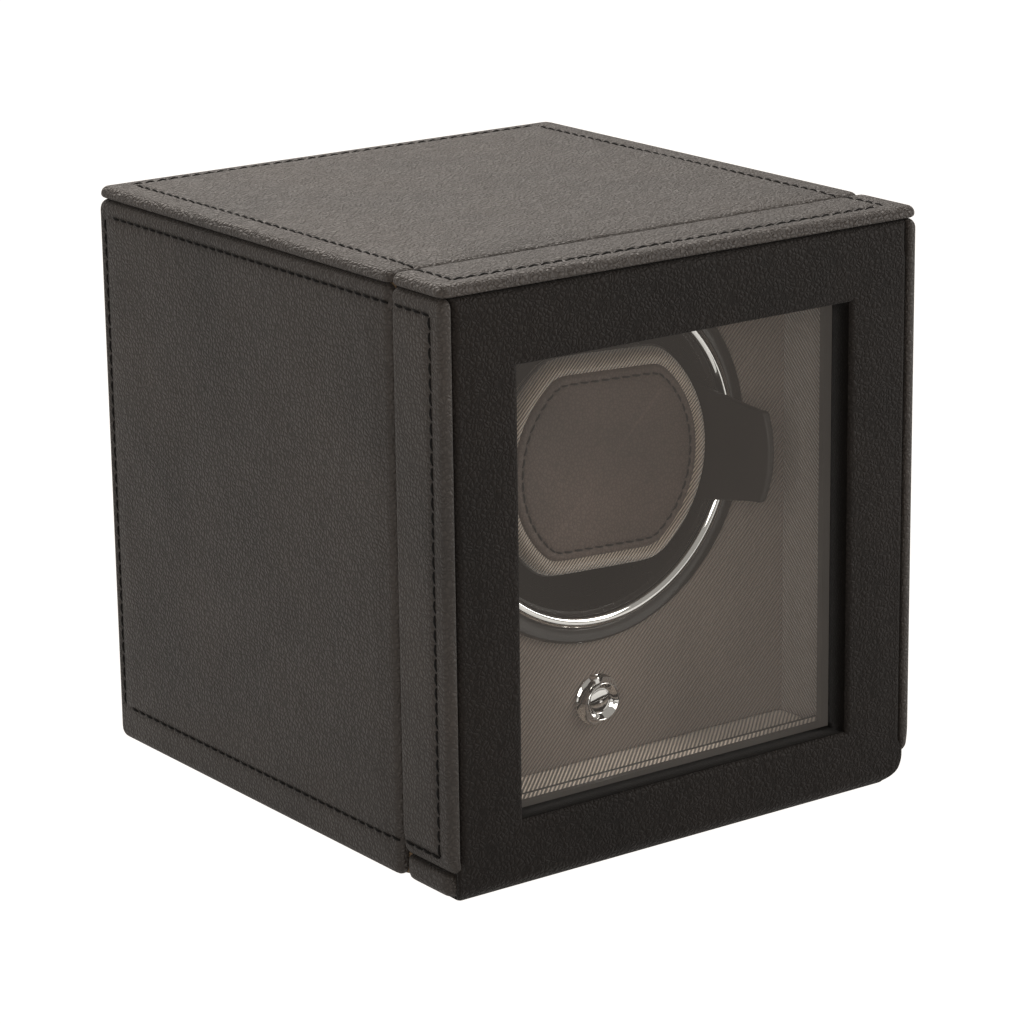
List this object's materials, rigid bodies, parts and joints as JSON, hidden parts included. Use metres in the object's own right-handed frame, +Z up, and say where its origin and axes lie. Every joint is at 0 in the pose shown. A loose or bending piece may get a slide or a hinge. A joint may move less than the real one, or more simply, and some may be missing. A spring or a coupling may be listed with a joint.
{
  "type": "watch winder box",
  "caption": "Leather-covered box with a drop-front glazed cover, a geared rotor holding a padded watch cuff, and a mode selector.",
  "frame": {"origin": "on the table, under the middle of the box", "axes": "+Z up, the glazed cover faces -Y, +X to the right for a viewer facing the cover"},
  "size_m": [0.147, 0.156, 0.154],
  "materials": {
    "board": "raw fibreboard",
    "leather": "fine pebble grain, semi-matte",
    "twill": "diagonal twill",
    "base_cloth": "short nap",
    "rubber_feet": "matt",
    "chrome": "polished",
    "black_gloss": "gloss",
    "black_plastic": "fine spark texture",
    "steel": "brushed",
    "bronze": "sintered",
    "gear_white": "moulded acetal",
    "board_green": "solder mask",
    "cell_wrap": "printed sleeve without marks",
    "wire_red": "insulation",
    "glass": "clear"
  },
  "bodies": {
    "body": {"base_board": "board", "left_board": "board", "right_board": "board", "top_board": "board", "back_board": "board", "left_panel": "leather", "right_panel": "leather", "top_panel": "leather", "back_panel": "leather", "base_cover": "base_cloth", "feet": "rubber_feet", "ledge_wrap": "leather", "hinge_leather": "leather", "body_front_trim": "leather", "cavity_lining": "twill", "facia_fabric": "twill", "facia_board": "board", "bezel_ring": "black_gloss", "chrome_ring": "chrome", "module_housing": "black_plastic", "housing_screws": "steel", "shaft_bush": "bronze", "motor_bracket": "steel", "bracket_screws": "steel", "motor_gearbox": "steel", "motor_can": "steel", "control_board": "board_green", "board_parts": "black_plastic", "board_screws": "steel", "selector_switch": "black_plastic", "dc_jack": "black_plastic", "jack_nut": "steel", "battery_box": "black_plastic", "battery_cells": "cell_wrap", "battery_springs": "steel", "wiring": "wire_red", "body_magnets": "steel"},
    "rotor": {"rotor_cup": "black_plastic", "rotor_shaft": "steel", "drum_gear": "gear_white", "shaft_clip": "steel"},
    "pinion": {"motor_pinion": "gear_white"},
    "cuff": {"cuff_core": "black_plastic", "cuff_sleeve": "twill", "cuff_pad": "twill", "cuff_patch": "leather", "cuff_plate_right": "black_plastic", "cuff_plate_left": "black_plastic"},
    "knob": {"selector_knob": "chrome"},
    "cover": {"cover_frame": "board", "cover_front_panel": "leather", "cover_left_panel": "leather", "cover_right_panel": "leather", "cover_top_panel": "leather", "cover_glass": "glass", "glass_retainer": "black_plastic", "cover_rear_trim": "leather", "cover_lining": "black_plastic", "cover_magnets": "steel"},
    "battery_door": {"battery_door": "black_plastic"}
  },
  "joints": [
    {"name": "rotor_spin", "type": "hinge", "parent": "body", "child": "rotor", "pos_m": [0, 0, 0.0924], "axis": [0, 1, 0], "continuous": true},
    {"name": "pinion_spin", "type": "hinge", "parent": "body", "child": "pinion", "pos_m": [0.02263, 0.02, 0.11503], "axis": [0, 1, 0], "continuous": true},
    {"name": "cuff_draw", "type": "slide", "parent": "rotor", "child": "cuff", "axis": [0, -1, 0], "range_m": [0, 0.004]},
    {"name": "knob_turn", "type": "hinge", "parent": "body", "child": "knob", "pos_m": [0, -0.042, 0.0283], "axis": [0, 1, 0], "range_deg": [0, 90]},
    {"name": "cover_hinge", "type": "hinge", "parent": "body", "child": "cover", "pos_m": [0, -0.0768, 0.0014], "axis": [1, 0, 0], "range_deg": [0, 90], "deforming": ["hinge_leather"]},
    {"name": "battery_door_pull", "type": "slide", "parent": "body", "child": "battery_door", "axis": [0, 1, 0], "range_m": [0, 0.012]}
  ],
  "couplings": [
    {"joint": "pinion_spin", "follows": "rotor_spin", "ratio": -3}
  ]
}
